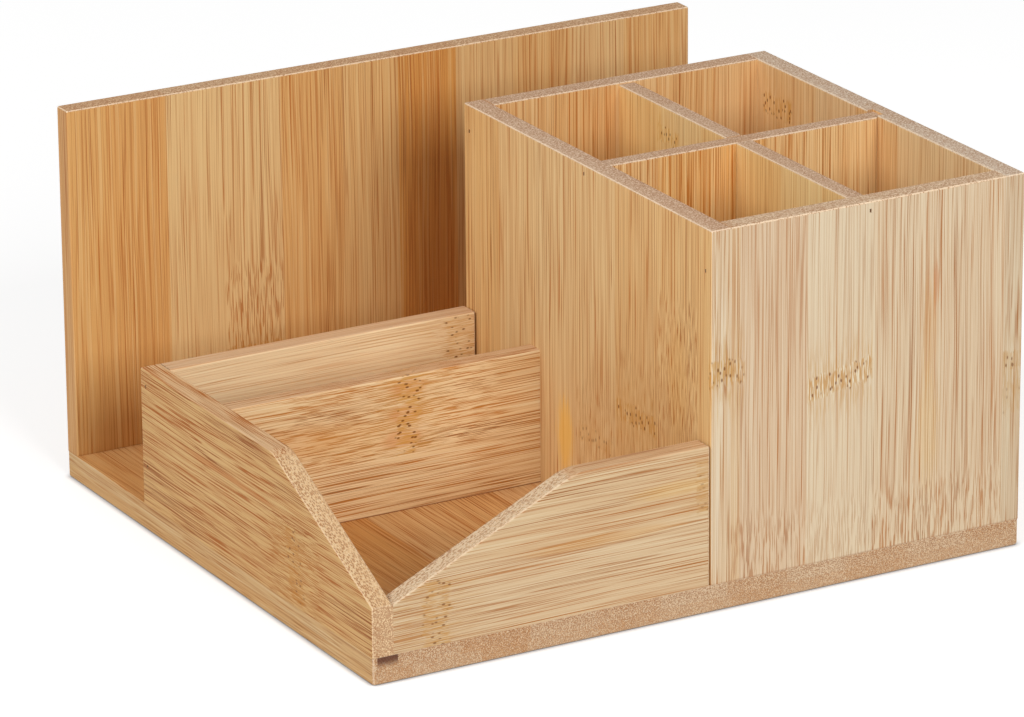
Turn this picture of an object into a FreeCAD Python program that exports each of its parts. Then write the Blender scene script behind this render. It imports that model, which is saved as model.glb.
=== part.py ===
import FreeCAD, Part
import math
import os

# Bamboo desk organizer: a base board that carries a tall back panel, a low tray with sloped
# walls at the front left, and a tall pen box with four wells at the front right.
# All lengths are in millimetres. The origin is the middle of the underside of the base.
# +X runs to the right along the front edge, +Y runs to the back and +Z runs up.

# Base board
base_width = 210.0
base_depth = 190.0
base_thickness = 8.0
base_corner_radius = 1.0
base_underside_arris = 0.8
base_top_arris = 0.25

# Back panel
panel_thickness = 6.5
panel_height = 106.5

# Depth that the tray and the pen box share, from the front edge of the base
block_depth = 139.5

# Low tray
tray_wall_thickness = 6.5
tray_wall_height = 41.5
tray_lip_height = 14.5
left_slope_run = 57.5
front_slope_run = 57.0
slope_blend_radius = 15.0
tray_divider_thickness = 6.0
tray_divider_height = 40.9
front_tray_depth = 89.0
tray_end_gap = 0.35

# Pen box
pen_box_width = 103.0
pen_box_height = 104.0
pen_wall_thickness = 6.5
pen_divider_thickness = 5.5
pen_divider_drop = 0.6
groove_depth = 2.0
groove_clearance = 0.1
lap_clearance = 0.1

# Easing of every free edge of the standing boards
arris_radius = 0.6

# Brads, thin rectangular wire nails with a flat head and a chisel point
brad_length = 18.0
brad_width = 0.8
brad_gauge = 0.6
brad_head_width = 1.1
brad_head_height = 0.5
brad_point_length = 1.6
brad_point_width = 0.3
brad_sink = 0.6

# Places of the brads
base_brad_margin = 18.0
pen_front_brad_drop = 12.3
pen_back_brad_drop = 8.0
pen_corner_brad_rise = 20.0
pen_divider_brad_drop = 2.7
tray_corner_brad_drop = 5.0
tray_corner_brad_rise = 12.0
panel_brad_count = 4
wall_brad_count = 3
short_board_brad_count = 2

# Length by which a cutting solid runs past the face that it opens
overrun = 5.0

# Largest distance at which a corner still counts as lying on a plane
tolerance = 0.001

# Planes that several boards share
left = -base_width / 2
right = base_width / 2
front = -base_depth / 2
back = base_depth / 2
floor = base_thickness
block_back = front + block_depth
pen_left = right - pen_box_width
pen_middle_x = right - pen_box_width / 2
pen_middle_y = front + block_depth / 2
tray_end = pen_left - tray_end_gap

RIGHT = FreeCAD.Vector(1, 0, 0)
REAR = FreeCAD.Vector(0, 1, 0)
UP = FreeCAD.Vector(0, 0, 1)


def block(low, high):
    """Box between two opposite corners."""
    size = [end - start for start, end in zip(low, high)]
    return Part.makeBox(size[0], size[1], size[2], FreeCAD.Vector(*low))


def lies_on(edge, place):
    """Whether an edge lies on every plane of place, which maps an axis to its value."""
    ends = [vertex.Point for vertex in edge.Vertexes]
    return all(abs(getattr(end, axis) - value) < tolerance for end in ends for axis, value in place.items())


def eased(board, radius, sharp):
    """Board with its edges rounded, except those on one of the places in sharp."""
    free = [edge for edge in board.Edges if not any(lies_on(edge, place) for place in sharp)]
    return board.makeFillet(radius, free)


def rounded_outline(corners):
    """Closed wire through corners, each a point and the radius of the arc that rounds it."""
    edges = []
    last_end = None
    first_start = None
    for index, (point, radius) in enumerate(corners):
        before = (corners[index - 1][0] - point).normalize()
        after = (corners[(index + 1) % len(corners)][0] - point).normalize()
        half_angle = before.getAngle(after) / 2
        reach = radius / math.tan(half_angle)
        start = point + before * reach
        end = point + after * reach
        if last_end is not None:
            edges.append(Part.makeLine(last_end, start))
        if radius > 0:
            bisector = (before + after).normalize()
            crown = point + bisector * (radius / math.sin(half_angle) - radius)
            edges.append(Part.Arc(start, crown, end).toShape())
        if first_start is None:
            first_start = start
        last_end = end
    edges.append(Part.makeLine(last_end, first_start))
    return Part.Wire(edges)


def sloped_wall(length, slope_run):
    """Low tray wall along +X from the origin, with its sloped end first and its thickness along +Y."""
    corners = [
        (FreeCAD.Vector(0, 0, 0), 0),
        (FreeCAD.Vector(length, 0, 0), 0),
        (FreeCAD.Vector(length, 0, tray_wall_height), 0),
        (FreeCAD.Vector(slope_run, 0, tray_wall_height), slope_blend_radius),
        (FreeCAD.Vector(0, 0, tray_lip_height), 0),
    ]
    return Part.Face(rounded_outline(corners)).extrude(REAR * tray_wall_thickness)


def base_board():
    """Base with rounded corners, an eased underside and a barely eased top."""
    board = block((left, front, 0), (right, back, floor))
    upright = [edge for edge in board.Edges if not lies_on(edge, {"z": 0}) and not lies_on(edge, {"z": floor})]
    board = board.makeFillet(base_corner_radius, upright)
    board = eased(board, base_underside_arris, [{"z": floor}])
    rim = [edge for edge in board.Edges if lies_on(edge, {"z": floor})]
    return board.makeFillet(base_top_arris, rim)


def back_panel():
    """Tall board on the rear edge of the base."""
    board = block((left, back - panel_thickness, floor), (right, back, floor + panel_height))
    return eased(board, arris_radius, [{"z": floor}])


def tray_left_wall():
    """Wall on the left edge, whose slope starts at the front."""
    wall = sloped_wall(block_depth, left_slope_run)
    wall.rotate(FreeCAD.Vector(0, 0, 0), UP, 90)
    wall.translate(FreeCAD.Vector(left + tray_wall_thickness, front, floor))
    inside = left + tray_wall_thickness
    return eased(wall, arris_radius, [{"z": floor}, {"x": inside, "y": front}, {"x": inside, "y": block_back}])


def tray_front_wall():
    """Wall on the front edge, from the left wall to the pen box."""
    start = left + tray_wall_thickness
    wall = sloped_wall(tray_end - start, front_slope_run)
    wall.translate(FreeCAD.Vector(start, front, floor))
    return eased(wall, arris_radius, [{"z": floor}, {"x": start}])


def tray_back_wall():
    """Wall that closes the tray towards the letter slot."""
    start = left + tray_wall_thickness
    low = (start, block_back - tray_wall_thickness, floor)
    wall = block(low, (tray_end, block_back, floor + tray_wall_height))
    return eased(wall, arris_radius, [{"z": floor}, {"x": start}])


def tray_divider():
    """Board that parts the narrow rear tray from the wide front tray, tight against the pen box."""
    start = left + tray_wall_thickness
    face = front + tray_wall_thickness + front_tray_depth
    board = block((start, face, floor), (pen_left, face + tray_divider_thickness, floor + tray_divider_height))
    return eased(board, arris_radius, [{"z": floor}, {"x": start}, {"x": pen_left}])


def pen_side_wall(start):
    """Side wall of the pen box over its full depth, with its left face at start."""
    return block((start, front, floor), (start + pen_wall_thickness, block_back, floor + pen_box_height))


def pen_box_left_wall():
    """Side wall towards the tray."""
    inside = pen_left + pen_wall_thickness
    sharp = [{"z": floor}, {"x": inside, "y": front}, {"x": inside, "y": block_back}]
    return eased(pen_side_wall(pen_left), arris_radius, sharp)


def pen_box_right_wall():
    """Side wall on the right edge, with a groove for the long divider."""
    inside = right - pen_wall_thickness
    sharp = [{"z": floor}, {"x": inside, "y": front}, {"x": inside, "y": block_back}]
    wall = eased(pen_side_wall(inside), arris_radius, sharp)
    half_width = pen_divider_thickness / 2 + groove_clearance
    low = (inside - overrun, pen_middle_y - half_width, floor - overrun)
    high = (inside + groove_depth, pen_middle_y + half_width, floor + pen_box_height + overrun)
    return wall.cut(block(low, high))


def pen_end_wall(start):
    """Wall between the two side walls of the pen box, with its front face at start."""
    low = (pen_left + pen_wall_thickness, start, floor)
    high = (right - pen_wall_thickness, start + pen_wall_thickness, floor + pen_box_height)
    return eased(block(low, high), arris_radius, [{"z": floor}, {"x": low[0]}, {"x": high[0]}])


def divider_height():
    """Height of both pen box dividers, which stop a little under the rim."""
    return pen_box_height - pen_divider_drop


def pen_divider_long():
    """Divider from the left wall into the groove of the right wall, with a lap slot from below."""
    half_width = pen_divider_thickness / 2
    low = (pen_left + pen_wall_thickness, pen_middle_y - half_width, floor)
    end = right - pen_wall_thickness + groove_depth
    board = block(low, (end, pen_middle_y + half_width, floor + divider_height()))
    board = eased(board, arris_radius, [{"z": floor}, {"x": low[0]}, {"x": end}])
    half_slot = half_width + lap_clearance
    slot_low = (pen_middle_x - half_slot, low[1] - overrun, floor - overrun)
    slot_high = (pen_middle_x + half_slot, low[1] + pen_divider_thickness + overrun, floor + divider_height() / 2)
    return board.cut(block(slot_low, slot_high))


def pen_divider_cross():
    """Divider from the front wall to the back wall, with a lap slot from above."""
    half_width = pen_divider_thickness / 2
    low = (pen_middle_x - half_width, front + pen_wall_thickness, floor)
    high = (pen_middle_x + half_width, block_back - pen_wall_thickness, floor + divider_height())
    board = eased(block(low, high), arris_radius, [{"z": floor}, {"y": low[1]}, {"y": high[1]}])
    half_slot = half_width + lap_clearance
    slot_low = (low[0] - overrun, pen_middle_y - half_slot, floor + divider_height() / 2)
    slot_high = (high[0] + overrun, pen_middle_y + half_slot, high[2] + overrun)
    return board.cut(block(slot_low, slot_high))


def brad_prism(entry, drive, along, head_start):
    """Brad outline from head_start to the point, measured from entry along drive and widened along along."""
    shank_start = brad_sink + brad_head_height
    tip = brad_sink + brad_length
    half_outline = [
        (head_start, brad_head_width / 2),
        (shank_start, brad_head_width / 2),
        (shank_start, brad_width / 2),
        (tip - brad_point_length, brad_width / 2),
        (tip, brad_point_width / 2),
    ]
    outline = half_outline + [(depth, -side) for depth, side in reversed(half_outline)]
    thickness = drive.cross(along) * brad_gauge
    origin = entry - thickness / 2
    points = [origin + drive * depth + along * side for depth, side in outline]
    return Part.Face(Part.makePolygon(points + points[:1])).extrude(thickness)


def spread(start, end, margin, count):
    """Even places between start and end, the outer two at margin from the ends."""
    step = (end - start - margin * 2) / (count - 1)
    return [start + margin + step * index for index in range(count)]


def base_entries_along_x(start, end, y, count):
    """Places on the underside of the base under a board that runs along X."""
    return [FreeCAD.Vector(x, y, 0) for x in spread(start, end, base_brad_margin, count)]


def base_entries_along_y(start, end, x, count):
    """Places on the underside of the base under a board that runs along Y."""
    return [FreeCAD.Vector(x, y, 0) for y in spread(start, end, base_brad_margin, count)]


def pen_corner_entries(x, y, drop):
    """Upper and lower brad of one corner joint of the pen box, the upper one at drop below its top."""
    heights = (floor + pen_box_height - drop, floor + pen_corner_brad_rise)
    return [FreeCAD.Vector(x, y, height) for height in heights]


def brad_rows():
    """Every group of brads: its name, the board it is driven through, the board it holds, its direction,
    the direction of its width and the places where it enters."""
    tray_start = left + tray_wall_thickness
    tray_left_x = left + tray_wall_thickness / 2
    tray_front_y = front + tray_wall_thickness / 2
    tray_back_y = block_back - tray_wall_thickness / 2
    tray_divider_y = front + tray_wall_thickness + front_tray_depth + tray_divider_thickness / 2
    pen_left_x = pen_left + pen_wall_thickness / 2
    pen_right_x = right - pen_wall_thickness / 2
    pen_front_y = front + pen_wall_thickness / 2
    pen_back_y = block_back - pen_wall_thickness / 2
    pen_inner_left = pen_left + pen_wall_thickness
    pen_inner_right = right - pen_wall_thickness
    pen_inner_front = front + pen_wall_thickness
    pen_inner_back = block_back - pen_wall_thickness
    panel_y = back - panel_thickness / 2
    tray_top = floor + tray_wall_height
    divider_brad_z = floor + pen_box_height - pen_divider_brad_drop
    under_x = [
        ("back_panel", left, right, panel_y, panel_brad_count),
        ("tray_front_wall", tray_start, tray_end, tray_front_y, short_board_brad_count),
        ("tray_back_wall", tray_start, tray_end, tray_back_y, short_board_brad_count),
        ("tray_divider", tray_start, pen_left, tray_divider_y, short_board_brad_count),
        ("pen_box_front_wall", pen_inner_left, pen_inner_right, pen_front_y, short_board_brad_count),
        ("pen_box_back_wall", pen_inner_left, pen_inner_right, pen_back_y, short_board_brad_count),
        ("pen_divider_long", pen_inner_left, pen_inner_right, pen_middle_y, short_board_brad_count),
    ]
    under_y = [
        ("tray_left_wall", front, block_back, tray_left_x, wall_brad_count),
        ("pen_box_left_wall", front, block_back, pen_left_x, wall_brad_count),
        ("pen_box_right_wall", front, block_back, pen_right_x, wall_brad_count),
        ("pen_divider_cross", pen_inner_front, pen_inner_back, pen_middle_x, short_board_brad_count),
    ]
    rows = []
    for name, start, end, y, count in under_x:
        entries = base_entries_along_x(start, end, y, count)
        rows.append(("base_brads_" + name, "base_board", name, UP, RIGHT, entries))
    for name, start, end, x, count in under_y:
        entries = base_entries_along_y(start, end, x, count)
        rows.append(("base_brads_" + name, "base_board", name, UP, REAR, entries))
    tray_heights = (tray_top - tray_corner_brad_drop, floor + tray_corner_brad_rise)
    tray_entries = [FreeCAD.Vector(left, tray_back_y, height) for height in tray_heights]
    rows.append(("side_brads_tray_back_wall", "tray_left_wall", "tray_back_wall", RIGHT, UP, tray_entries))
    pen_ends = [
        ("pen_box_front_wall", pen_front_y, pen_front_brad_drop),
        ("pen_box_back_wall", pen_back_y, pen_back_brad_drop),
    ]
    for board, y, drop in pen_ends:
        entries = pen_corner_entries(pen_left, y, drop)
        rows.append(("left_brads_" + board, "pen_box_left_wall", board, RIGHT, UP, entries))
        entries = pen_corner_entries(right, y, drop)
        rows.append(("right_brads_" + board, "pen_box_right_wall", board, -RIGHT, UP, entries))
    entry = FreeCAD.Vector(pen_left, pen_middle_y, divider_brad_z)
    rows.append(("left_brad_pen_divider_long", "pen_box_left_wall", "pen_divider_long", RIGHT, UP, [entry]))
    entry = FreeCAD.Vector(pen_middle_x, front, divider_brad_z)
    rows.append(("front_brad_pen_divider_cross", "pen_box_front_wall", "pen_divider_cross", REAR, UP, [entry]))
    entry = FreeCAD.Vector(pen_middle_x, block_back, divider_brad_z)
    rows.append(("rear_brad_pen_divider_cross", "pen_box_back_wall", "pen_divider_cross", -REAR, UP, [entry]))
    return rows


def build():
    """All boards and brads by node name, with a hole in the boards for each brad."""
    boards = {
        "base_board": base_board(),
        "back_panel": back_panel(),
        "tray_left_wall": tray_left_wall(),
        "tray_front_wall": tray_front_wall(),
        "tray_back_wall": tray_back_wall(),
        "tray_divider": tray_divider(),
        "pen_box_left_wall": pen_box_left_wall(),
        "pen_box_right_wall": pen_box_right_wall(),
        "pen_box_front_wall": pen_end_wall(front),
        "pen_box_back_wall": pen_end_wall(block_back - pen_wall_thickness),
        "pen_divider_long": pen_divider_long(),
        "pen_divider_cross": pen_divider_cross(),
    }
    holes = {name: [] for name in boards}
    brads = {}
    for name, outer, inner, drive, along, entries in brad_rows():
        brads[name] = Part.Compound([brad_prism(entry, drive, along, brad_sink) for entry in entries])
        for entry in entries:
            hole = brad_prism(entry, drive, along, -overrun)
            holes[outer].append(hole)
            holes[inner].append(hole)
    drilled = {name: board.cut(holes[name]) for name, board in boards.items()}
    return {**drilled, **brads}


def main():
    """Write one file for each node."""
    os.makedirs("parts", exist_ok=True)
    for name, shape in build().items():
        shape.exportStep("parts/" + name + ".step")
        print(name, "solids", len(shape.Solids), "valid", shape.isValid(), "volume", round(shape.Volume, 1))


main()
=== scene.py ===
"""Looks of a bamboo desk organizer: laminated bamboo boards, steel brads and a photo table."""

import math
from typing import NamedTuple

import bmesh
import bpy
from bpy.props import FloatProperty, FloatVectorProperty, PointerProperty
from mathutils import Euler, Matrix, Vector


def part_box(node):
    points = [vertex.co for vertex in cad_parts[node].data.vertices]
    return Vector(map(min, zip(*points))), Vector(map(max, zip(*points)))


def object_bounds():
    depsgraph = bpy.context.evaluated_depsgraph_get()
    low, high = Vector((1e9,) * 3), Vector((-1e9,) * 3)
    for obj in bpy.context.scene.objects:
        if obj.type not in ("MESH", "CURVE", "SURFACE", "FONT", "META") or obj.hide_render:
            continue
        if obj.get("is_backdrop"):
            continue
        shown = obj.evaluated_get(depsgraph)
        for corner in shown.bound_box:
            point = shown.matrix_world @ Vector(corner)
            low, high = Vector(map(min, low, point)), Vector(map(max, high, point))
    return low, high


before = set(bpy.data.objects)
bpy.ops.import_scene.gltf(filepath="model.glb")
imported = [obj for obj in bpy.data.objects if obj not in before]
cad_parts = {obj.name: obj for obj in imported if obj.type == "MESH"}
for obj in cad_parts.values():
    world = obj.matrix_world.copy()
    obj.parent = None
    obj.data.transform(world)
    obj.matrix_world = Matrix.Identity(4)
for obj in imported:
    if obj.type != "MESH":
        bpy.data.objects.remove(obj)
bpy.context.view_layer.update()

bl_info = {
    "name": "Bamboo desk organizer",
    "version": (1, 0, 0),
    "blender": (4, 5, 0),
    "location": "View3D > Sidebar > Organizer",
    "description": "Finishes a bamboo desk organizer's boards and brads and sets its photo table",
    "category": "Object",
}

MM = 0.001
PER_MM = 1 / MM
QUARTER = math.pi / 2


def shade(red, green, blue):
    """The linear values, by the curve of sRGB, of a colour given by its usual 0 to 255 values."""
    def straighten(value):
        value /= 255
        return value / 12.92 if value <= 0.04045 else ((value + 0.055) / 1.055) ** 2.4
    return (straighten(red), straighten(green), straighten(blue), 1.0)


BLACK = (0.0, 0.0, 0.0, 1.0)
WHITE = (1.0, 1.0, 1.0, 1.0)


def colour_setting(name, description, default):
    return FloatVectorProperty(
        name=name, description=description, default=default, size=4, min=0, max=1, subtype="COLOR"
    )


def length_setting(name, description, default):
    return FloatProperty(name=name, description=description, default=default, min=0, unit="LENGTH")


def share_setting(name, description, default):
    return FloatProperty(name=name, description=description, default=default, min=0, max=1)


def power_setting(name, description, default):
    return FloatProperty(name=name, description=description, default=default, unit="POWER")


def angle_setting(name, description, degrees):
    default = math.radians(degrees)
    return FloatProperty(name=name, description=description, default=default, subtype="ANGLE")


class BambooSettings(bpy.types.PropertyGroup):
    pale: colour_setting("Pale strip", "Colour of the palest strips", shade(228, 207, 176))
    honey: colour_setting("Honey strip", "Colour of the deepest strips", shade(212, 156, 94))
    blush: colour_setting("Blush", "Pink cast of some strips", shade(216, 180, 152))
    fibre: colour_setting("Golden fibre", "Warm fibre lines along the strips", shade(180, 110, 46))
    # Also the colour of the painted shade along the boards' feet.
    umber: colour_setting("Dark fibre", "Brown fibre lines and hairlines", shade(148, 90, 46))
    pith: colour_setting("Pale fibre", "Soft tissue between the fibre lines", shade(240, 224, 196))
    knuckle: colour_setting("Node mark", "Strokes of a culm node", shade(198, 140, 66))
    pore: colour_setting("Node pore", "Pores in a culm node", shade(124, 70, 20))
    stain: colour_setting("Golden stain", "Resin stain on a strip", shade(238, 188, 90))
    # Also the colour of the painted shade over the letter slot and of the painted shadow on the
    # back panel.
    flame: colour_setting("Flame", "Reddish stain along the fibres", shade(196, 120, 66))
    # Colour of a dark red patch on the base's front cut, under the tray's left wall.
    dark_red_mark: colour_setting("Scorch", "Dark red mark of the saw", shade(92, 48, 30))
    end_tissue: colour_setting("End grain", "Soft tissue on a cross cut", shade(226, 204, 172))
    end_honey: colour_setting(
        "Deep end grain", "Cross cut of the deepest strips", shade(204, 156, 106)
    )
    end_sawn: colour_setting(
        "Square cut", "Greyish cast of a cut square to the grain", shade(182, 148, 118)
    )
    end_speck: colour_setting(
        "End grain speck", "Cut fibre bundles on a cross cut", shade(158, 104, 60)
    )
    # Pale arris colour: partly sanded fuzz, partly a painted highlight along the rounded edges.
    arris: colour_setting("Arris", "Fuzz on the sanded edges", shade(238, 216, 186))
    fibre_pitch: length_setting("Fibre pitch", "Distance between fibre lines", 0.38 * MM)
    fibre_length: length_setting(
        "Fibre length", "Length of a fibre line on a clear strip", 70 * MM
    )
    dash_length: length_setting(
        "Dash length", "Length of the fibre lines near a culm node", 8 * MM
    )
    bundle_pitch: length_setting(
        "Bundle pitch", "Distance between bundles on a cross cut", 0.48 * MM
    )
    relief: length_setting("Relief", "Depth of the open fibres", 0.025 * MM)
    roughness: share_setting("Roughness", "Roughness of the sanded faces", 0.55)


class SteelSettings(bpy.types.PropertyGroup):
    bright: colour_setting("Bright steel", "Colour of the brads", shade(118, 98, 78))
    dull: colour_setting("Dull steel", "Drawing marks on the brads", shade(66, 50, 38))


class StageSettings(bpy.types.PropertyGroup):
    floor_colour: colour_setting("Table", "Colour of the photo table", shade(246, 246, 246))
    floor_size: length_setting("Table size", "Width of the photo table", 9.0)
    floor_lift: length_setting(
        "Table lift", "Height of the table top over the rest face", 0.05 * MM
    )
    contact: length_setting(
        "Contact shadow", "Reach of the dark line along the object's foot", 2 * MM
    )
    floor_glow: share_setting("Table glow", "White that the camera sees in the table", 0.52)
    floor_shadow: share_setting(
        "Table shadow", "How much of its light and shadow the table shows the camera", 0.8
    )
    sky: FloatProperty(name="Sky", description="Strength of the white room", default=0.36, min=0)
    front_light: power_setting("Front light", "Power of the front softbox", 22.5)
    side_light: power_setting("Side light", "Power of the left softbox", 17.0)
    softbox_size: length_setting("Softbox size", "Side of the front and left softboxes", 0.9)
    softbox_distance: length_setting(
        "Softbox distance", "Distance of the softboxes from the object", 2.0
    )
    camera_place: FloatVectorProperty(
        name="Camera place", description="Where the camera stands",
        default=(-0.8522, -1.5009, 0.6562), subtype="XYZ"
    )
    camera_turn: angle_setting("Camera turn", "Angle of the view from straight ahead", 29.37)
    camera_tilt: angle_setting("Camera tilt", "Angle of the view below the horizon", 19.45)
    camera_roll: angle_setting("Camera roll", "Turn of the camera about its view", -0.442)
    camera_lens: FloatProperty(
        name="Lens", description="Focal length in millimetres", default=222.7, min=1
    )


class Lay(NamedTuple):
    """How a board's grain lies.

    turn lays the board's length on X, its strips side by side on Y and its thickness on Z. axis is
    the axis of the object that the grain runs along, and edge_axis the one that the edges face.
    """
    turn: tuple
    axis: str
    edge_axis: str


UPRIGHT_FACING_FRONT = Lay((QUARTER, 0, QUARTER), "Z", "X")
UPRIGHT_FACING_SIDE = Lay((0, QUARTER, 0), "Z", "Y")
LONG_FACING_FRONT = Lay((-QUARTER, 0, 0), "X", "Z")
LONG_FACING_SIDE = Lay((-QUARTER, -QUARTER, 0), "Y", "Z")
FLAT = Lay((2 * QUARTER, 0, QUARTER), "Y", "X")


class Strip(NamedTuple):
    """One strip of a laminated board: its width in millimetres, its tone from 0, pale, to 1, honey,
    how pink it is and how strongly its fibre lines show."""
    width: float
    tone: float
    blush: float
    lines: float


class Knuckle(NamedTuple):
    """A culm node that crosses a strip, in millimetres from the board's low end and low side.

    It reaches equally far up and down the grain, and lean slants it. strength, pores and light are
    how strongly its strokes, its pores and its pale flecks show.
    """
    along: float
    across: float
    half_width: float
    reach: float
    lean: float
    strength: float
    pores: float
    light: float = 0.25


class Patch(NamedTuple):
    """A stretch of a board, in millimetres from its low end and low side. A stain is golden at
    depth 0 and reddish at depth 1."""
    along: float
    across: float
    half_length: float
    half_width: float
    strength: float
    depth: float = 0.0


class Board(NamedTuple):
    """A board of laminated bamboo and the marks on it.

    The casts multiply the red, green and blue of its faces, its edges and its cross cuts. On the
    boards inside the tray and the pen box the casts of the faces go above 1, partly as painted
    light in their shade. One weight says how strongly a painted shade darkens its foot, where it
    stands on the base, and for the base itself on the table, and skin says whether the skin of the
    culm is on its low side.
    run is how long and close how closely its fibre lines run. On its cross cuts, cut_close is how
    closely the bundles lie, cut_contrast how much the strips differ and sawn how grey a square cut
    is.
    A last weight says how pale its arrises are: partly sanded fuzz, partly a painted highlight.
    """
    node: str
    lay: Lay
    strips: tuple
    under_strips: tuple = ()
    knuckles: tuple = ()
    short_lines: tuple = ()
    stains_and_shade: tuple = ()
    # Dark red patches at the top of a cross cut.
    dark_red_marks: tuple = ()
    cast: tuple = (1.0, 1.0, 1.0)
    edge_cast: tuple = (1.0, 1.0, 1.0)
    end_cast: tuple = (1.0, 1.0, 1.0)
    # How strongly a painted shade darkens the board's foot.
    foot_shade: float = 0.3
    skin: bool = True
    run: float = 1.0
    close: float = 1.0
    cut_close: float = 1.0
    cut_contrast: float = 0.5
    sawn: float = 0.6
    # How pale the arrises are: partly sanded fuzz, partly a painted highlight.
    arris_paleness: float = 0.8


# A noise has its middle at MIDDLE. SEED_STEP shifts the noises from one board to the next, up to
# SEEDS times, and a shift keeps two kinds of line on one board apart.
MIDDLE = 0.5
SEED_STEP = Vector((17.3, 5.1, 9.7))
SEEDS = 23
HAIR_SHIFT = 3.7
DASH_SHIFT = 5.3
BAND_SHIFT = 8.1

# How fine a noise is, per millimetre: along, across and through the board where there are three
# values.
SWAY_GRAIN = (0.012, 0.04, 0.04)
FRAY_GRAIN = (0.06, 0.8, 0.8)
STROKE_GRAIN = (0.2, 2.6, 2.6)
PORE_GRAIN = (0.42, 0.8, 0.8)
BAND_GRAIN = 0.16
GRIT_GRAIN = 2.7

# How fine and how long the lines are, as shares of what the settings give.
COMB_PITCH = 0.6
CORD_PITCH = 0.7
CORD_LENGTH = 0.5
HAIR_PITCH = 1.15
HAIR_LENGTH = 0.6
DASH_PITCH = 1.3

# How rich a noise is, and how scattered its cells.
COMB_DETAIL = 0.5
HAIR_DETAIL = 0.0
FRAY_DETAIL = 2.0
GRIT_ROUGHNESS = 0.6
CORD_SCATTER = 0.9
BUNDLE_SCATTER = 0.8

# How far the grain sways, and how far the marks fray or fade, in millimetres. A side fades from so
# far outside to so far inside a mark's edge.
SWAY = 2.0
BLOCK_FRAY = 16
BLOCK_END = 3
BLOCK_SIDE = (0.3, 0.3)
KNUCKLE_SIDE = (0.4, 0.6)
DARK_RED_SIDE = (0.2, 0.2)
DARK_RED_FRAY = 2
DARK_RED_REACH = (4, 3)
GLUE_LINE = 0.1
# Heights over a board's foot, in millimetres, where its painted shade starts and where it is full.
FOOT_SHADE_HEIGHTS = (0.5, 0.1)

# The same as a share of the mark's own size.
BLOT_FRAY = 1.4
BLOT_EDGE = (1.1, 0.5)
KNUCKLE_FRAY = 1.3
KNUCKLE_CORE = 0.75
FLAME_REACH = 4.5
DARK_RED_EDGE = (2, 0.5)

# Where a noise turns into a mark: nothing of it at the first value, all of it at the second.
COMB_LINE = (0.08, 0.03)
CORD_CORE = (0.3, 0.18)
HAIR = (0.42, 0.58)
PALE_COMB = (0.42, 0.34)
DARK_DASH = (0.51, 0.58)
PALE_DASH = (0.47, 0.4)
UMBER_BAND = (0.35, 0.95)
FLAME_DASH = (0.48, 0.62)
DARK_STROKE = (0.48, 0.56)
PALE_STROKE = (0.47, 0.4)
PORE = (0.32, 0.14)
BUNDLE_CORE = (0.56, 0.34)
SAWN_GRIT = (0.38, 0.58)
ARRIS_GRIT = (0.3, 0.5)

# The same for how squarely a face looks along an axis: an edge, a cross cut, a square cut, an arris
# between two faces, and an arris that belongs to a cross cut.
EDGE_FACE = (0.5, 0.8)
CROSS_CUT = (0.25, 0.38)
SQUARE_CUT = (0.6, 0.95)
ARRIS_FACE = (0.93, 0.8)
ARRIS_OF_CUT = (0.1, 0.3)

# How much of each mark shows.
COMB_SHARE = 0.6
CORD_SHARE = 0.75
HAIR_SHARE = 0.55
HAIR_MIDDLE = 0.65
BAND_SHARE = 0.06
PALE_SHARE = 0.2
LINE_SHARE = 1.05
LINE_LEAST = 0.12
FLAME_SHARE = 0.55
STROKE_SHARE = 0.55
STROKE_LEAST = 0.2
SPECK_SKIN = 0.35
SPECK_LEAST = 0.5
SPECK_SAWN = 0.2
CUT_GRIT = 4.8
CUT_TONE_MIDDLE = 0.6
CUT_MIDDLE = 0.45
CUT_BLUSH = 0.5

# The sheen of the boards, and the drawing marks on the steel: how many per metre, how rich and how
# deep.
CUT_ROUGHNESS = 0.25
LINE_ROUGHNESS = 0.1
BAMBOO_SPECULAR = 0.35
STEEL_GRAIN = (2500, 2500, 2500)
STEEL_DETAIL = 3.0
STEEL_GRAIN_ROUGHNESS = 0.6
STEEL_MARK_ROUGHNESS = 0.4
STEEL_ROUGHNESS = 0.25
STEEL_BUMP = 0.4
STEEL_RELIEF = 0.02 * MM

# The stage: how far round to the left and how high the softboxes hang, and the table's mesh and
# sheen.
FRONT_LIGHT_TURN, FRONT_LIGHT_HEIGHT = 0.0, math.radians(25)
SIDE_LIGHT_TURN, SIDE_LIGHT_HEIGHT = math.radians(88), math.radians(32)
TABLE_CELLS = 8
TABLE_ROUGHNESS = 0.9

# A Mix node's sockets by number, because those for numbers and for colours have the same names.
MIX_NUMBERS = (2, 3)
MIX_COLOURS = (6, 7)
MIXED_COLOUR = 2


class Value:
    """A number in a node tree, so that its maths reads as Python."""

    def __init__(self, tree, socket):
        self.tree = tree
        self.socket = socket

    def maths(self, operation, *others):
        return self.tree.maths(operation, self, *others)

    def __add__(self, other):
        return self.maths("ADD", other)

    __radd__ = __add__

    def __sub__(self, other):
        return self.maths("SUBTRACT", other)

    def __rsub__(self, other):
        return self.tree.maths("SUBTRACT", other, self)

    def __mul__(self, other):
        return self.maths("MULTIPLY", other)

    __rmul__ = __mul__

    def __truediv__(self, other):
        return self.maths("DIVIDE", other)

    def __abs__(self):
        return self.maths("ABSOLUTE")


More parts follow.
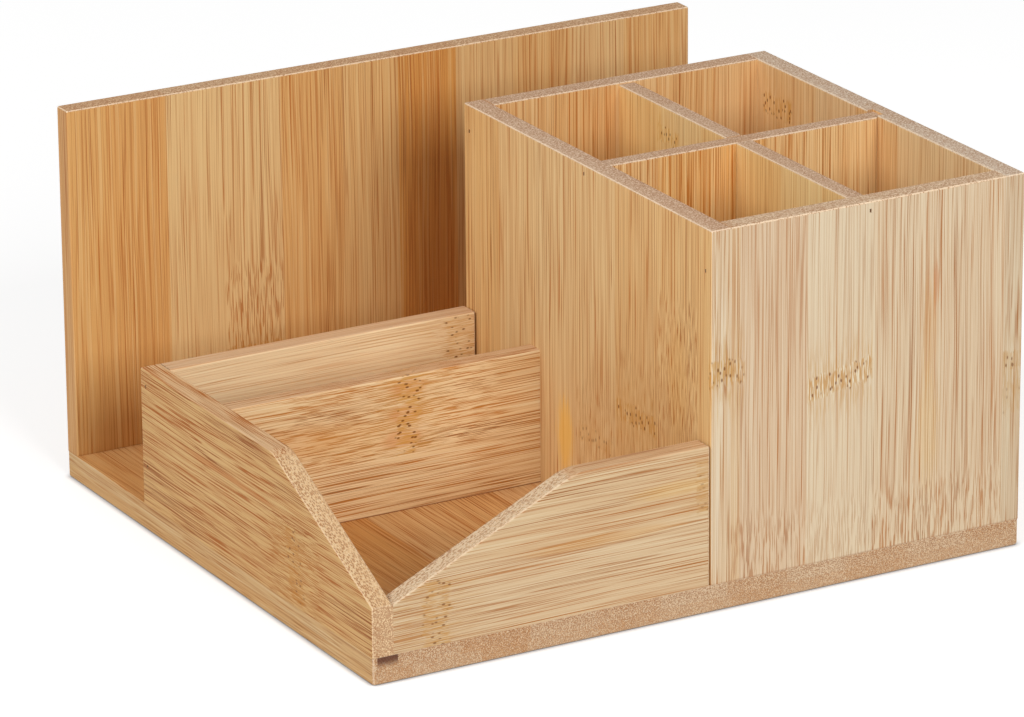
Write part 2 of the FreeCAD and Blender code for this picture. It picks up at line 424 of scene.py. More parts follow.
class Tree:
    """The node tree of a material or a world, and the node that it ends in."""

    def __init__(self, owner, end):
        owner.use_nodes = True
        self.nodes = owner.node_tree.nodes
        self.links = owner.node_tree.links
        self.nodes.clear()
        self.end = self.nodes.new(end)

    def put(self, socket, value):
        """Link or set a socket."""
        if isinstance(value, Value):
            self.links.new(value.socket, socket)
        else:
            socket.default_value = value

    def node(self, kind, settings=None, values=None, output=0):
        """Make a node of this type, with its settings and the values or links of its sockets."""
        made = self.nodes.new(kind)
        settings = dict(settings or {})
        stops = settings.pop("stops", None)
        for name, setting in settings.items():
            setattr(made, name, setting)
        if stops:
            ramp = made.color_ramp
            ramp.interpolation = "CONSTANT"
            while len(ramp.elements) < len(stops):
                ramp.elements.new(1.0)
            for element, (position, colour) in zip(ramp.elements, stops):
                element.position = position
                element.color = colour
        for name, value in (values or {}).items():
            self.put(made.inputs[name], value)
        return Value(self, made.outputs[output])

    def close(self, shader):
        self.put(self.end.inputs["Surface"], shader)

    def maths(self, operation, *values):
        return self.node("ShaderNodeMath", {"operation": operation}, dict(enumerate(values)))

    def mix(self, share, *numbers):
        """The first number where share is 0, the second where it is 1."""
        sockets = dict(zip(MIX_NUMBERS, numbers))
        return self.node("ShaderNodeMix", {"data_type": "FLOAT"}, {0: share, **sockets})

    def blend(self, share, *colours, way="MIX"):
        """The first colour where share is 0, the second where it is 1."""
        settings = {"data_type": "RGBA", "blend_type": way}
        sockets = dict(zip(MIX_COLOURS, colours))
        return self.node("ShaderNodeMix", settings, {0: share, **sockets}, MIXED_COLOUR)

    def stretch(self, vector, scale, shift=(0, 0, 0)):
        settings = {"operation": "MULTIPLY_ADD"}
        return self.node("ShaderNodeVectorMath", settings, {0: vector, 1: scale, 2: shift})

    def rise(self, value, low, high):
        """0 below low and 1 above high, or the other way round where high is the smaller one."""
        settings = {"interpolation_type": "SMOOTHSTEP"}
        return self.node("ShaderNodeMapRange", settings, {"Value": value, 1: low, 2: high})

    def split(self, value, kind="ShaderNodeSeparateXYZ"):
        """The three parts of a vector, or of a colour."""
        first = self.node(kind, {}, {0: value})
        return [Value(self, output) for output in first.socket.node.outputs]

    def noise(self, vector, detail=1.0, roughness=0.5):
        return self.node(
            "ShaderNodeTexNoise", {},
            {"Vector": vector, "Scale": 1.0, "Detail": detail, "Roughness": roughness}
        )

    def cells(self, vector, scatter=1.0):
        """How far a point is from the middle of its cell. scatter is how uneven the cells lie."""
        return self.node(
            "ShaderNodeTexVoronoi", {}, {"Vector": vector, "Scale": 1.0, "Randomness": scatter}
        )


class Sheet(Tree):
    """The material of one piece or of several like pieces."""

    def __init__(self, name):
        self.material = bpy.data.materials.new(name)
        super().__init__(self.material, "ShaderNodeOutputMaterial")

    def finish(self, values, *objects):
        """Close the tree with a surface shader that has these values, and coat the objects."""
        self.close(self.node("ShaderNodeBsdfPrincipled", {}, values))
        for obj in objects:
            obj.data.materials.clear()
            obj.data.materials.append(self.material)


def strip_stops(row, width):
    """Ramp stops that lay a row of strips over a board of this width, in millimetres."""
    stops, edge = [], 0.0
    for strip in row:
        stops.append((min(edge / width, 1.0), (strip.tone, strip.blush, strip.lines, 1.0)))
        edge += strip.width
    return stops


def grain_place(sheet, node, lay):
    """A board's length, width and thickness, and the place of a point along, across and through it
    from its low corner, all in millimetres."""
    turn = Euler(lay.turn).to_matrix()
    corners = [turn @ corner * PER_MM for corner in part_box(node)]
    low = Vector(min(pair) for pair in zip(*corners))
    high = Vector(max(pair) for pair in zip(*corners))
    place = sheet.node("ShaderNodeTexCoord", output="Object")
    return high - low, sheet.node(
        "ShaderNodeMapping", {},
        {"Vector": place, "Location": -low, "Rotation": lay.turn, "Scale": (PER_MM,) * 3}
    )


class Grain:
    """Where a point of a board lies in its grain, and how its lines and marks follow the grain."""

    def __init__(self, sheet, board, number):
        settings = bpy.context.scene.organizer_bamboo
        self.sheet = sheet
        self.size, self.place = grain_place(sheet, board.node, board.lay)
        self.along, self.across, self.through = sheet.split(self.place)
        self.seed = SEED_STEP * number
        self.fine = board.close / (settings.fibre_pitch * PER_MM)
        self.bundle = 1 / (settings.bundle_pitch * PER_MM)
        self.length = settings.fibre_length * PER_MM * board.run
        self.dash = settings.dash_length * PER_MM
        sway = sheet.noise(sheet.stretch(self.place, SWAY_GRAIN, self.seed))
        bent = self.across + (sway - MIDDLE) * SWAY
        self.wavy = sheet.node(
            "ShaderNodeCombineXYZ", {}, {0: self.along, 1: bent, 2: self.through}
        )

    def lines(self, length, fineness, shift=0.0, detail=1.0):
        """Noise drawn out along the grain to this length, with this many lines a millimetre."""
        seed = self.seed + Vector((shift, shift, shift))
        place = self.sheet.stretch(self.wavy, (1 / length, fineness, fineness), seed)
        return self.sheet.noise(place, detail)

    def over(self, mark, outside, inside):
        """1 over the width of a mark, 0 beside it."""
        side = abs(self.across - mark.across)
        return self.sheet.rise(side, mark.half_width + outside, mark.half_width - inside)

    def block(self, patch, fray):
        """1 on a stretch of a strip, 0 outside it, with straight sides and frayed ends."""
        end = abs(self.along - patch.along) + (fray - MIDDLE) * BLOCK_FRAY
        inside = self.sheet.rise(end, patch.half_length + BLOCK_END, patch.half_length - BLOCK_END)
        return inside * self.over(patch, *BLOCK_SIDE) * patch.strength

    def blot(self, patch, fray):
        """1 in a long blot, 0 outside it, with points that fray along the fibres."""
        size = (1 / patch.half_length, 1 / patch.half_width, 0)
        middle = (-patch.along / patch.half_length, -patch.across / patch.half_width, 0)
        offset = self.sheet.stretch(self.place, size, middle)
        length = {"operation": "LENGTH"}
        far = self.sheet.node("ShaderNodeVectorMath", length, {0: offset}, "Value")
        return self.sheet.rise(far + (fray - MIDDLE) * BLOT_FRAY, *BLOT_EDGE) * patch.strength


def strip_values(sheet, grain, board):
    """Tone, blush and strength of the lines of the strip under a point."""
    def ply(row):
        return sheet.node(
            "ShaderNodeValToRGB", {"stops": strip_stops(row, grain.size.y)}, {0: share}
        )

    share = grain.across / grain.size.y
    strip = ply(board.strips)
    if board.under_strips:
        middle = grain.size.z / 2
        upper = sheet.rise(grain.through, middle - GLUE_LINE, middle + GLUE_LINE)
        strip = sheet.blend(upper, strip, ply(board.under_strips))
    return sheet.split(strip, "ShaderNodeSeparateColor")


class Lines(NamedTuple):
    """The fibre lines of a board, the dark ones, the pale ones and the broad bands, with the dashes
    and the fraying that its culm nodes and stains use too."""
    dark: Value
    pale: Value
    bands: Value
    dashes: Value
    fray: Value


def fibre_lines(sheet, grain, board):
    """A fine comb, cords and hairs, which give way to dashes near a culm node, and broad bands."""
    comb = grain.lines(grain.length, grain.fine * COMB_PITCH, detail=COMB_DETAIL)
    cord = grain.bundle * CORD_PITCH
    cords = sheet.stretch(grain.wavy, (CORD_LENGTH / grain.length, cord, cord), grain.seed)
    cords = sheet.rise(sheet.cells(cords, CORD_SCATTER), *CORD_CORE)
    hairs = grain.lines(
        grain.length * HAIR_LENGTH, grain.bundle * HAIR_PITCH, HAIR_SHIFT, HAIR_DETAIL
    )
    hairs = sheet.rise(hairs, *HAIR)
    bands = grain.lines(grain.length, BAND_GRAIN, BAND_SHIFT)
    dark = sheet.rise(abs(comb - MIDDLE), *COMB_LINE) * COMB_SHARE + cords * CORD_SHARE
    dark = dark + (hairs - HAIR_MIDDLE) * HAIR_SHARE
    pale = sheet.rise(comb, *PALE_COMB)
    dashes = fray = MIDDLE
    if board.knuckles or board.short_lines or board.stains_and_shade:
        dashes = grain.lines(grain.dash, grain.fine * DASH_PITCH, DASH_SHIFT)
    if board.knuckles or board.short_lines:
        fray = sheet.noise(sheet.stretch(grain.place, FRAY_GRAIN, grain.seed), FRAY_DETAIL)
    if board.short_lines:
        nodal = sum(grain.block(patch, fray) for patch in board.short_lines)
        dark = sheet.mix(nodal, dark, sheet.rise(dashes, *DARK_DASH))
        pale = sheet.mix(nodal, pale, sheet.rise(dashes, *PALE_DASH))
    return Lines(dark, pale, bands, dashes, fray)


def paint_fibres(sheet, lines, tone, blush, strength):
    """Colour of a strip and of the fibre lines on it."""
    settings = bpy.context.scene.organizer_bamboo
    tone = tone + (lines.bands - MIDDLE) * BAND_SHARE
    colour = sheet.blend(tone, settings.pale, settings.honey)
    colour = sheet.blend(blush, colour, settings.blush)
    colour = sheet.blend(lines.pale * PALE_SHARE, colour, settings.pith)
    thread = sheet.blend(sheet.rise(lines.bands, *UMBER_BAND), settings.fibre, settings.umber)
    return sheet.blend(lines.dark * (strength * LINE_SHARE + LINE_LEAST), colour, thread)


def paint_stains_and_shade(sheet, grain, board, lines, colour):
    """The colour with the board's stains, which follow the fibres; some on the base and the back
    panel are painted shade.
    """
    settings = bpy.context.scene.organizer_bamboo
    for patch in board.stains_and_shade:
        tint = sheet.blend(patch.depth, settings.stain, settings.flame)
        colour = sheet.blend(grain.blot(patch, lines.dashes), colour, tint)
    return colour


def paint_knuckles(sheet, grain, board, lines, colour):
    """The colour with the board's culm nodes: each a ragged band of short golden strokes and pale
    flecks, with flames on both sides and a few pores."""
    if not board.knuckles:
        return colour
    settings = bpy.context.scene.organizer_bamboo
    strokes = sheet.noise(sheet.stretch(grain.place, STROKE_GRAIN, grain.seed))
    spots = sheet.rise(sheet.cells(sheet.stretch(grain.place, PORE_GRAIN, grain.seed)), *PORE)
    pores = 0.0
    for knuckle in board.knuckles:
        reach, strength = knuckle.reach, knuckle.strength
        side = grain.over(knuckle, *KNUCKLE_SIDE)
        middle = (grain.across - knuckle.across) * knuckle.lean + knuckle.along
        far = abs(grain.along - middle + (lines.fray - MIDDLE) * reach * KNUCKLE_FRAY)
        band = sheet.rise(far, reach, reach * KNUCKLE_CORE) * side * strength
        flame = sheet.rise(far, reach * FLAME_REACH, reach) * side * strength
        flame = flame * sheet.rise(lines.dashes, *FLAME_DASH) * FLAME_SHARE
        stroke = band * (sheet.rise(strokes, *DARK_STROKE) * STROKE_SHARE + STROKE_LEAST)
        fleck = band * sheet.rise(strokes, *PALE_STROKE) * knuckle.light
        colour = sheet.blend(flame, colour, settings.knuckle)
        colour = sheet.blend(stroke, colour, settings.knuckle)
        colour = sheet.blend(fleck, colour, settings.pith)
        pores = pores + spots * band * knuckle.pores
    return sheet.blend(pores, colour, settings.pore)


def paint_casts(sheet, board, facing, colour):
    """The colour with the board's casts for its faces and its edges."""
    edge = sheet.rise(facing[board.lay.edge_axis], *EDGE_FACE)
    # On the boards inside the tray and the pen box the casts are partly painted light in their
    # shade.
    cast = sheet.blend(edge, (*board.cast, 1.0), (*board.edge_cast, 1.0))
    return sheet.blend(1.0, colour, cast, way="MULTIPLY")


def cross_cut(sheet, grain, board, tone, blush, facing, grit):
    """Colour and specks of a cross cut: cut fibre bundles, denser towards the skin of the culm."""
    settings = bpy.context.scene.organizer_bamboo
    bundle = grain.bundle * board.cut_close
    bundles = sheet.stretch(grain.place, (0, bundle, bundle), grain.seed)
    skin = grain.through / grain.size.z
    if board.skin:
        skin = 1 - skin
    square = sheet.rise(facing[board.lay.axis], *SQUARE_CUT) * board.sawn
    specks = sheet.rise(sheet.cells(bundles, BUNDLE_SCATTER), *BUNDLE_CORE)
    specks = specks * (skin * SPECK_SKIN + SPECK_LEAST) * (1 - square * SPECK_SAWN)
    cut = (grit - MIDDLE) * CUT_GRIT + tone - CUT_TONE_MIDDLE
    cut = sheet.blend(
        cut * board.cut_contrast + CUT_MIDDLE, settings.end_tissue, settings.end_honey
    )
    cut = sheet.blend(square * sheet.rise(grit, *SAWN_GRIT), cut, settings.end_sawn)
    cut = sheet.blend(blush * CUT_BLUSH, cut, settings.end_tissue)
    cut = sheet.blend(specks, cut, settings.end_speck)
    # Dark red patches at the top of the cross cut.
    for patch in board.dark_red_marks:
        outer, inner = (patch.half_length * share for share in DARK_RED_EDGE)
        near = sheet.rise(grain.through + (grit - MIDDLE) * DARK_RED_FRAY, outer, inner)
        near = near * grain.over(patch, *DARK_RED_SIDE)
        near = near * sheet.rise(abs(grain.along - patch.along), *DARK_RED_REACH)
        cut = sheet.blend(near * patch.strength, cut, settings.dark_red_mark)
    return sheet.blend(1.0, cut, (*board.end_cast, 1.0), way="MULTIPLY"), specks


def paint_arrises_and_foot_shade(sheet, board, facing, grit, colour):
    """The colour with pale arrises, partly sanded fuzz and partly a painted highlight, and with a
    painted shade along the board's foot.
    """
    settings = bpy.context.scene.organizer_bamboo
    straight = facing["X"].maths("MAXIMUM", facing["Y"]).maths("MAXIMUM", facing["Z"])
    # Painted highlight, with some sanded fuzz, on the rounded arrises.
    arris = sheet.rise(straight, *ARRIS_FACE) * sheet.rise(grit, *ARRIS_GRIT)
    arris = arris * sheet.rise(facing[board.lay.axis], *ARRIS_OF_CUT) * board.arris_paleness
    colour = sheet.blend(arris, colour, settings.arris)
    # Painted shade along the board's foot, darker towards its bottom edge.
    upright = sheet.split(sheet.node("ShaderNodeTexCoord", output="Object"))[2]
    height = (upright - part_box(board.node)[0].z) * PER_MM
    return sheet.blend(sheet.rise(height, *FOOT_SHADE_HEIGHTS) * board.foot_shade, colour, settings.umber)


def bamboo(board):
    """Give a board its strips, fibre lines, culm nodes, stains, cross cuts and worn arrises."""
    settings = bpy.context.scene.organizer_bamboo
    sheet = Sheet("bamboo_" + board.node)
    grain = Grain(sheet, board, sum(map(ord, board.node)) % SEEDS)
    tone, blush, strength = strip_values(sheet, grain, board)
    lines = fibre_lines(sheet, grain, board)
    normal = sheet.node("ShaderNodeTexCoord", output="Normal")
    facing = dict(zip("XYZ", map(abs, sheet.split(normal))))
    fine = GRIT_GRAIN * board.cut_close
    grit = sheet.stretch(grain.place, (fine, fine, fine), grain.seed)
    grit = sheet.noise(grit, roughness=GRIT_ROUGHNESS)
    cut, specks = cross_cut(sheet, grain, board, tone, blush, facing, grit)
    endness = sheet.rise(facing[board.lay.axis], *CROSS_CUT)

    colour = paint_fibres(sheet, lines, tone, blush, strength)
    colour = paint_stains_and_shade(sheet, grain, board, lines, colour)
    colour = paint_knuckles(sheet, grain, board, lines, colour)
    colour = paint_casts(sheet, board, facing, colour)
    colour = sheet.blend(endness, colour, cut)
    colour = paint_arrises_and_foot_shade(sheet, board, facing, grit, colour)
    depth = sheet.mix(endness, lines.dark, specks + grit)
    bump = sheet.node(
        "ShaderNodeBump", {"invert": True},
        {"Strength": 1.0, "Distance": settings.relief, "Height": depth}
    )
    sheet.finish({
        "Base Color": colour,
        "Roughness": endness * CUT_ROUGHNESS + lines.dark * LINE_ROUGHNESS + settings.roughness,
        "Specular IOR Level": BAMBOO_SPECULAR,
        "Normal": bump,
    }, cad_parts[board.node])


def steel(name, nodes):
    """Give these nodes dull drawn steel."""
    settings = bpy.context.scene.organizer_steel
    sheet = Sheet("steel_" + name)
    place = sheet.node("ShaderNodeTexCoord", output="Object")
    marks = sheet.stretch(place, STEEL_GRAIN)
    marks = sheet.noise(marks, STEEL_DETAIL, STEEL_GRAIN_ROUGHNESS)
    bump = sheet.node(
        "ShaderNodeBump", {}, {"Strength": STEEL_BUMP, "Distance": STEEL_RELIEF, "Height": marks}
    )
    sheet.finish({
        "Base Color": sheet.blend(marks, settings.dull, settings.bright),
        "Metallic": 1.0,
        "Roughness": marks * STEEL_MARK_ROUGHNESS + STEEL_ROUGHNESS,
        "Normal": bump,
    }, *(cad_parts[node] for node in nodes))


def strips(*rows):
    return tuple(Strip(*row) for row in rows)


# The boards of each operator. A board's strips go from its low side, and its marks lie on them.
BOARDS = {
    "base": (
        Board(
            "base_board", FLAT,
            cast=(1.04, 0.94, 0.67), edge_cast=(0.88, 0.93, 0.82), end_cast=(0.83, 0.8, 0.78),
            strips=strips(
                (7, 0.75, 0.1, 0.8), (20, 0.6, 0.1, 0.8), (22, 0.85, 0.0, 0.8),
                (21, 0.5, 0.3, 0.8), (21, 0.6, 0.2, 0.8), (21, 0.3, 0.6, 0.7),
                (20, 0.6, 0.2, 0.7), (19.5, 0.25, 0.6, 0.7), (20, 0.6, 0.2, 0.7),
                (20, 0.4, 0.5, 0.7), (19, 0.65, 0.1, 0.7)),
            under_strips=strips(
                (12, 0.85, 0.1, 0.6), (21, 0.65, 0.2, 0.5), (15, 0.9, 0.0, 0.7),
                (22, 0.65, 0.2, 0.7), (20, 0.75, 0.1, 0.5), (24, 0.6, 0.3, 0.6),
                (16, 0.8, 0.1, 0.5), (21, 0.65, 0.3, 0.6), (21, 0.75, 0.1, 0.5),
                (38, 0.65, 0.3, 0.5)),
            # This wide reddish stain over the floor of the letter slot is painted shade, darkening
            # the slot between the tray and the back panel.
            stains_and_shade=(Patch(165, 55, 30, 75, 0.14, 1.0),),
            # A dark red patch at the top of the base's front cut, under the tray's left wall.
            dark_red_marks=(Patch(0, 4.6, 1.8, 3.2, 0.9),),
            # The weight of 0.4 paints shade along the base's bottom edge on the table.
            foot_shade=0.4, run=0.6, close=1.3, cut_close=1.25, cut_contrast=1.6, sawn=0.2, arris_paleness=0.4),
    ),
    "panel": (
        Board(
            "back_panel", UPRIGHT_FACING_FRONT,
            cast=(0.96, 0.88, 0.61), edge_cast=(0.85, 0.75, 0.55), end_cast=(1.02, 0.92, 0.82),
            strips=strips(
                (13, 0.75, 0.0, 0.55), (18.7, 0.85, 0.1, 0.6), (18.3, 0.25, 0.2, 0.45),
                (19.6, 0.3, 0.2, 0.75), (20, 0.72, 0.08, 0.65), (19.4, 0.6, 0.1, 0.6),
                # This deep honey strip is set at full honey partly to deepen the painted shadow of
                # the pen box over it.
                (19.5, 1.0, 0.0, 0.8), (19.5, 0.45, 0.2, 0.6), (19.5, 0.65, 0.1, 0.8),
                (19.5, 0.4, 0.3, 0.6), (19.5, 0.7, 0.1, 0.65), (4, 0.5, 0.2, 0.6)),
            short_lines=(Patch(36, 59.8, 14, 9.8, 0.8),),
            knuckles=(Knuckle(22, 59.8, 9.8, 3.0, 0.0, 0.8, 0.5),),
            # This reddish stain, about 107 to 131 mm across, is a painted shadow of the pen box on
            # the panel.
            stains_and_shade=(Patch(60, 119, 70, 12, 0.12, 1.0),),
            cut_close=0.8),
    ),
    "tray": (
        Board(
            "tray_left_wall", LONG_FACING_SIDE,
            cast=(0.85, 0.74, 0.46), edge_cast=(1.0, 0.96, 0.86), end_cast=(1.02, 0.96, 0.84),
            strips=strips((25.5, 0.45, 0.1, 1.45), (16, 0.45, 0.1, 1.45)),
            short_lines=(Patch(45, 12, 14, 12.5, 0.8),),
            knuckles=(Knuckle(45, 12, 11, 4.5, 0.15, 0.9, 0.8),),
            stains_and_shade=(Patch(85, 25.5, 34, 1.2, 0.5, 0.9),),
            foot_shade=0.0, run=0.5, close=1.6, sawn=1.2, arris_paleness=0.3),
        Board(
            "tray_front_wall", LONG_FACING_FRONT,
            cast=(0.86, 0.9, 0.84), edge_cast=(0.95, 0.92, 0.85),
            strips=strips((21.5, 0.35, 0.3, 0.82), (20, 0.45, 0.2, 0.82)),
            knuckles=(
                Knuckle(13.5, 9, 10, 4.4, 0.0, 0.8, 1.0),
                Knuckle(98, 30, 8, 2.4, 0.0, 0.6, 0.6)),
            stains_and_shade=(Patch(66, 20.5, 30, 1.8, 0.35, 0.6), Patch(88, 31, 14, 2.5, 0.25, 0.2)),
            foot_shade=0.0, run=0.9, close=1.15, arris_paleness=0.3),
        Board(
            "tray_back_wall", LONG_FACING_FRONT,
            # A cast above 1: partly painted light, lightening this board in the shade of the tray.
            cast=(1.26, 1.37, 1.24), edge_cast=(1.0, 0.95, 0.85),
            strips=strips((21, 0.4, 0.2, 0.4), (20.5, 0.3, 0.5, 0.35)),
            short_lines=(Patch(98, 31, 12, 10, 0.8),),
            knuckles=(Knuckle(95, 31, 10, 5.0, 0.0, 0.5, 2.0),),
            run=0.8),
        Board(
            "tray_divider", LONG_FACING_FRONT,
            # A cast above 1: partly painted light, lightening this board in the shade of the tray.
            cast=(1.18, 1.34, 1.32),
            strips=strips((16.5, 0.55, 0.1, 1.1), (24.5, 0.6, 0.1, 1.1)),
            short_lines=(Patch(52, 29, 34, 12, 0.65),),
            knuckles=(Knuckle(57, 29, 12, 4.0, 0.1, 0.85, 1.4),),
            stains_and_shade=(
                Patch(20, 27, 16, 6, 0.25, 0.8), Patch(36, 24, 16, 7, 0.15, 0.6),
                Patch(57, 37, 6, 3, 0.55, 1.0), Patch(56, 29.5, 6, 3, 0.55, 1.0),
                Patch(55, 22, 7, 3, 0.55, 1.0)),
            # The full weight paints shade along the divider's foot on the base.
            foot_shade=1.0, run=0.7, close=1.3),
    ),
    "pen_box": (
        Board(
            "pen_box_left_wall", UPRIGHT_FACING_SIDE,
            cast=(1.06, 1.02, 0.77), edge_cast=(0.9, 1.03, 1.16), end_cast=(1.05, 1.0, 1.03),
            strips=strips(
                (7, 0.5, 0.0, 0.8), (22, 0.52, 0.08, 0.85), (23.2, 0.52, 0.1, 0.82),
                (22.8, 0.32, 0.2, 0.82), (22.2, 0.25, 0.2, 0.82), (21.3, 0.4, 0.2, 0.75),
                (21, 0.6, 0.0, 0.8)),
            short_lines=(
                Patch(58, 18, 20, 11, 0.8), Patch(36, 40.6, 18, 11.5, 0.5),
                Patch(25, 63.6, 14, 11.4, 0.5)),
            knuckles=(
                Knuckle(37, 40.6, 11.3, 3.2, 0.0, 0.9, 1.2),
                Knuckle(23.5, 63.6, 10, 2.8, 0.0, 0.4, 1.6),
                Knuckle(62, 0, 1.4, 4.0, 0.0, 0.9, 1.0)),
            stains_and_shade=(Patch(19, 81, 13, 5, 0.65), Patch(54, 18, 20, 6, 0.15, 0.4)),
            cut_close=0.8),
        Board(
            "pen_box_front_wall", UPRIGHT_FACING_FRONT,
            cast=(0.86, 0.9, 0.9), end_cast=(1.08, 1.04, 1.03),
            strips=strips(
                (2.8, 0.45, 0.0, 0.6), (21.7, 0.3, 0.35, 0.62), (22, 0.1, 0.1, 0.35),
                (22.3, 0.2, 0.12, 0.72), (21.2, 0.22, 0.15, 0.68)),
            short_lines=(Patch(5, 45, 12, 60, 0.8),),
            knuckles=(
                Knuckle(53.5, 35.5, 10.8, 3.8, 0.16, 0.9, 1.0, 0.9),
                Knuckle(62, 1.5, 3.0, 4.0, 0.0, 0.8, 0.8, 0.5)),
            stains_and_shade=(
                Patch(76, 67, 9, 1.1, 0.5, 1.0), Patch(62, 65, 18, 3, 0.25, 0.6),
                Patch(34, 65, 22, 4, 0.2, 0.2)),
            cut_close=0.8),
        Board(
            "pen_box_right_wall", UPRIGHT_FACING_SIDE,
            # A cast above 1: partly painted light, lightening this board in the shade of the pen
            # box's wells.
            cast=(1.18, 1.16, 0.93), edge_cast=(0.8, 0.85, 0.84), end_cast=(1.08, 1.16, 1.34),
            strips=strips(
                (12, 0.2, 0.3, 0.6), (22, 0.3, 0.3, 0.6), (22, 0.3, 0.2, 0.5),
                (22, 0.6, 0.1, 0.7), (22, 0.4, 0.3, 0.5), (22, 0.6, 0.2, 0.6),
                (18, 0.5, 0.2, 0.5)),
            knuckles=(
                Knuckle(92, 121.5, 8, 3.6, 0.0, 0.8, 1.5),
                Knuckle(49, 0, 1.2, 3.0, 0.0, 0.6, 1.2),
                Knuckle(38, 0, 1.0, 5.0, 0.0, 0.4, 0.8)),
            cut_close=0.8),
        Board(
            "pen_box_back_wall", UPRIGHT_FACING_FRONT,
            # A cast above 1: partly painted light, lightening this board in the shade of the pen
            # box's wells.
            cast=(1.13, 1.1, 0.87), end_cast=(1.02, 0.98, 1.02),
            strips=strips(
                (19, 0.7, 0.1, 0.7), (22, 0.75, 0.1, 0.7), (14, 0.5, 0.1, 0.4),
                (20, 0.7, 0.1, 0.6), (15, 0.6, 0.2, 0.5)),
            cut_close=0.8),
    ),
    "dividers": (
        Board(
            "pen_divider_long", UPRIGHT_FACING_FRONT,
            # A cast above 1: partly painted light, lightening this board in the shade of the pen
            # box's wells.
            cast=(1.2, 1.22, 1.0), end_cast=(1.02, 0.98, 1.02),
            strips=strips(
                (16, 0.6, 0.1, 1.3), (22, 0.8, 0.0, 1.6), (14, 0.9, 0.0, 1.6),
                (20, 0.6, 0.1, 0.9), (20, 0.6, 0.1, 0.9)),
            cut_close=0.8),
        Board(
            "pen_divider_cross", UPRIGHT_FACING_SIDE,
            # A cast above 1: partly painted light, lightening this board in the shade of the pen
            # box's wells.
            cast=(1.32, 1.4, 1.08), end_cast=(1.02, 0.98, 1.02),
            strips=strips(
                (14, 0.6, 0.1, 0.5), (22, 0.5, 0.1, 0.4), (22, 0.7, 0.1, 0.5),
                (22, 0.6, 0.1, 0.5), (22, 0.5, 0.2, 0.6), (24, 0.7, 0.1, 0.5)),
            knuckles=(Knuckle(95, 98.5, 6, 2.8, 0.0, 0.8, 1.5),),
            cut_close=0.8),
    ),
}


def finish_boards(group):
    for board in BOARDS[group]:
        bamboo(board)
    return {"FINISHED"}


class ORGANIZER_OT_base(bpy.types.Operator):
    """Finish the two-ply base board"""
    bl_idname = "organizer.base"
    bl_label = "Base board"

    def execute(self, context):
        return finish_boards("base")


class ORGANIZER_OT_panel(bpy.types.Operator):
    """Finish the tall back panel"""
    bl_idname = "organizer.panel"
    bl_label = "Back panel"

    def execute(self, context):
        return finish_boards("panel")


class ORGANIZER_OT_tray(bpy.types.Operator):
    """Finish the low walls and the divider of the tray"""
    bl_idname = "organizer.tray"
    bl_label = "Tray"

    def execute(self, context):
        return finish_boards("tray")


class ORGANIZER_OT_pen_box(bpy.types.Operator):
    """Finish the four walls of the pen box"""
    bl_idname = "organizer.pen_box"
    bl_label = "Pen box"

    def execute(self, context):
        return finish_boards("pen_box")


class ORGANIZER_OT_dividers(bpy.types.Operator):
    """Finish the two crossed pen dividers"""
    bl_idname = "organizer.dividers"
    bl_label = "Pen dividers"

    def execute(self, context):
        return finish_boards("dividers")


class ORGANIZER_OT_brads(bpy.types.Operator):
    """Finish the steel brads that pin the boards"""
    bl_idname = "organizer.brads"
    bl_label = "Brads"

    def execute(self, context):
        steel("brads", [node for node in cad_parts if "brad" in node])
        return {"FINISHED"}


class ORGANIZER_OT_stage(bpy.types.Operator):
    """Set the camera, the photo table, the softboxes and the white room"""
    bl_idname = "organizer.stage"
    bl_label = "Stage"

    def execute(self, context):
        settings = context.scene.organizer_stage
        scene = context.scene
        set_camera(scene, settings)
        lay_table(scene, settings)
        middle = sum(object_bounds(), Vector()) / 2
        hang_softbox(
            scene, settings, middle, "front_softbox", settings.front_light,
            FRONT_LIGHT_TURN, FRONT_LIGHT_HEIGHT
        )
        hang_softbox(
            scene, settings, middle, "left_softbox", settings.side_light,
            SIDE_LIGHT_TURN, SIDE_LIGHT_HEIGHT
        )
        light_room(scene, settings)
        scene.view_settings.view_transform = "Standard"
        return {"FINISHED"}


def set_camera(scene, settings):
    turn, tilt, roll = settings.camera_turn, settings.camera_tilt, settings.camera_roll
    ahead = Vector((
        math.sin(turn) * math.cos(tilt), math.cos(turn) * math.cos(tilt), -math.sin(tilt)
    ))
    level = ahead.cross(Vector((0, 0, 1))).normalized()
    upward = level.cross(ahead)
    right = level * math.cos(roll) + upward * math.sin(roll)
    axes = Matrix((right, right.cross(ahead), -ahead)).transposed()
    camera = bpy.data.objects.new("camera", bpy.data.cameras.new("camera"))
    camera.data.lens = settings.camera_lens
    camera.matrix_world = Matrix.Translation(settings.camera_place) @ axes.to_4x4()
    scene.collection.objects.link(camera)
    scene.camera = camera


def lay_table(scene, settings):
    """A table that carries the object's shadow, with a dark line close along the object's foot."""
    mesh = bpy.data.meshes.new("table")
    form = bmesh.new()
    bmesh.ops.create_grid(
        form, x_segments=TABLE_CELLS, y_segments=TABLE_CELLS, size=settings.floor_size / 2,
        matrix=Matrix.Translation((0, 0, settings.floor_lift))
    )
    form.to_mesh(mesh)
    form.free()
    table = bpy.data.objects.new("table", mesh)
    scene.collection.objects.link(table)
    table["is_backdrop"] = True
    sheet = Sheet("table")
    seen = sheet.node("ShaderNodeLightPath", output="Is Camera Ray")
    clear = sheet.node("ShaderNodeAmbientOcclusion", {}, {"Distance": settings.contact}, "AO")
    dim = sheet.blend(clear, BLACK, Vector(settings.floor_colour) * settings.floor_shadow)
    sheet.finish({
        "Base Color": sheet.blend(seen, settings.floor_colour, dim),
        "Emission Color": sheet.blend(seen * clear, BLACK, [settings.floor_glow] * 4),
        "Emission Strength": 1.0,
        "Roughness": TABLE_ROUGHNESS,
        "Specular IOR Level": 0.0,
    }, table)


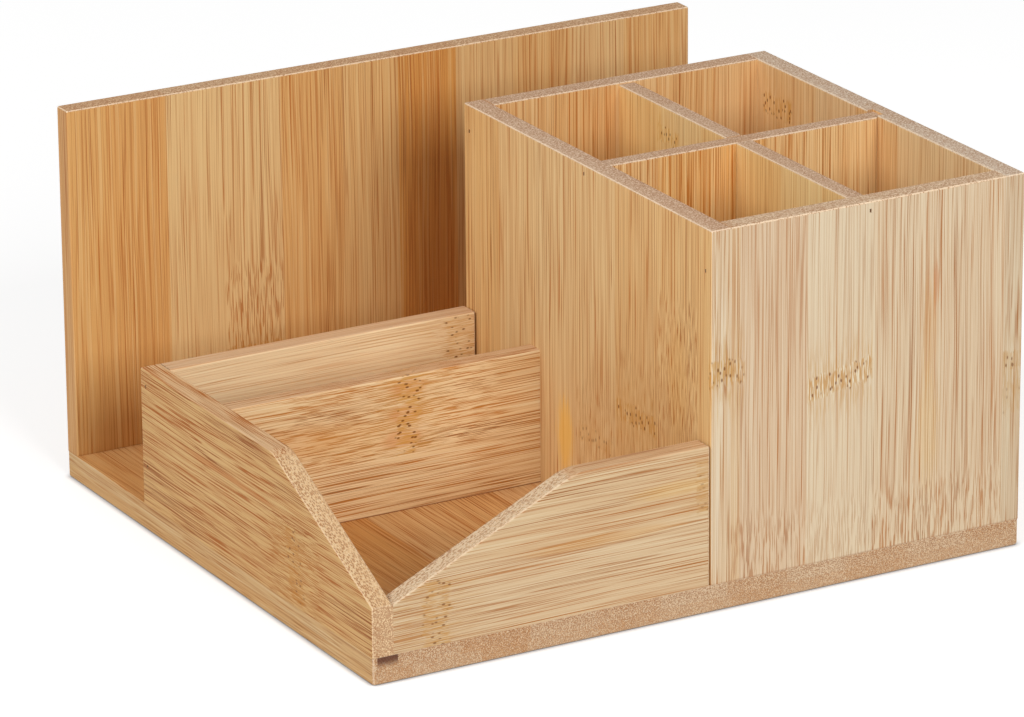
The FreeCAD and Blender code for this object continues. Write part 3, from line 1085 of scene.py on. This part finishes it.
def hang_softbox(scene, settings, middle, name, power, turn, height):
    """A square lamp this far round to the left of the front and this high, aimed at the middle."""
    lamp = bpy.data.lights.new(name, "AREA")
    lamp.shape = "SQUARE"
    lamp.size = settings.softbox_size
    lamp.energy = power
    away = Vector((
        -math.sin(turn) * math.cos(height), -math.cos(turn) * math.cos(height), math.sin(height)
    ))
    softbox = bpy.data.objects.new(name, lamp)
    softbox.location = middle + away * settings.softbox_distance
    softbox.rotation_mode = "QUATERNION"
    softbox.rotation_quaternion = away.to_track_quat("Z", "Y")
    scene.collection.objects.link(softbox)


def light_room(scene, settings):
    """A room that lights the object softly, and is white to the camera and in reflections."""
    world = bpy.data.worlds.new("room")
    room = Tree(world, "ShaderNodeOutputWorld")
    seen = room.node("ShaderNodeLightPath", output="Is Camera Ray")
    seen = seen.maths("MAXIMUM", room.node("ShaderNodeLightPath", output="Is Glossy Ray"))
    strength = room.mix(seen, settings.sky, 1.0)
    room.close(room.node("ShaderNodeBackground", {}, {"Color": WHITE, "Strength": strength}))
    scene.world = world


class VIEW3D_PT_organizer(bpy.types.Panel):
    bl_label = "Desk organizer"
    bl_space_type = "VIEW_3D"
    bl_region_type = "UI"
    bl_category = "Organizer"

    def draw(self, context):
        scene = context.scene
        for operator in OPERATORS:
            self.layout.operator(operator.bl_idname)
        for group in (scene.organizer_bamboo, scene.organizer_steel, scene.organizer_stage):
            for name in group.__annotations__:
                self.layout.prop(group, name)


OPERATORS = (
    ORGANIZER_OT_stage,
    ORGANIZER_OT_base,
    ORGANIZER_OT_panel,
    ORGANIZER_OT_tray,
    ORGANIZER_OT_pen_box,
    ORGANIZER_OT_dividers,
    ORGANIZER_OT_brads,
)
CLASSES = (BambooSettings, SteelSettings, StageSettings, *OPERATORS, VIEW3D_PT_organizer)


def register():
    for made in CLASSES:
        bpy.utils.register_class(made)
    bpy.types.Scene.organizer_bamboo = PointerProperty(type=BambooSettings)
    bpy.types.Scene.organizer_steel = PointerProperty(type=SteelSettings)
    bpy.types.Scene.organizer_stage = PointerProperty(type=StageSettings)


def unregister():
    del bpy.types.Scene.organizer_stage
    del bpy.types.Scene.organizer_steel
    del bpy.types.Scene.organizer_bamboo
    for made in reversed(CLASSES):
        bpy.utils.unregister_class(made)


def main():
    register()
    bpy.ops.organizer.stage()
    bpy.ops.organizer.base()
    bpy.ops.organizer.panel()
    bpy.ops.organizer.tray()
    bpy.ops.organizer.pen_box()
    bpy.ops.organizer.dividers()
    bpy.ops.organizer.brads()


if __name__ == "__main__":
    main()
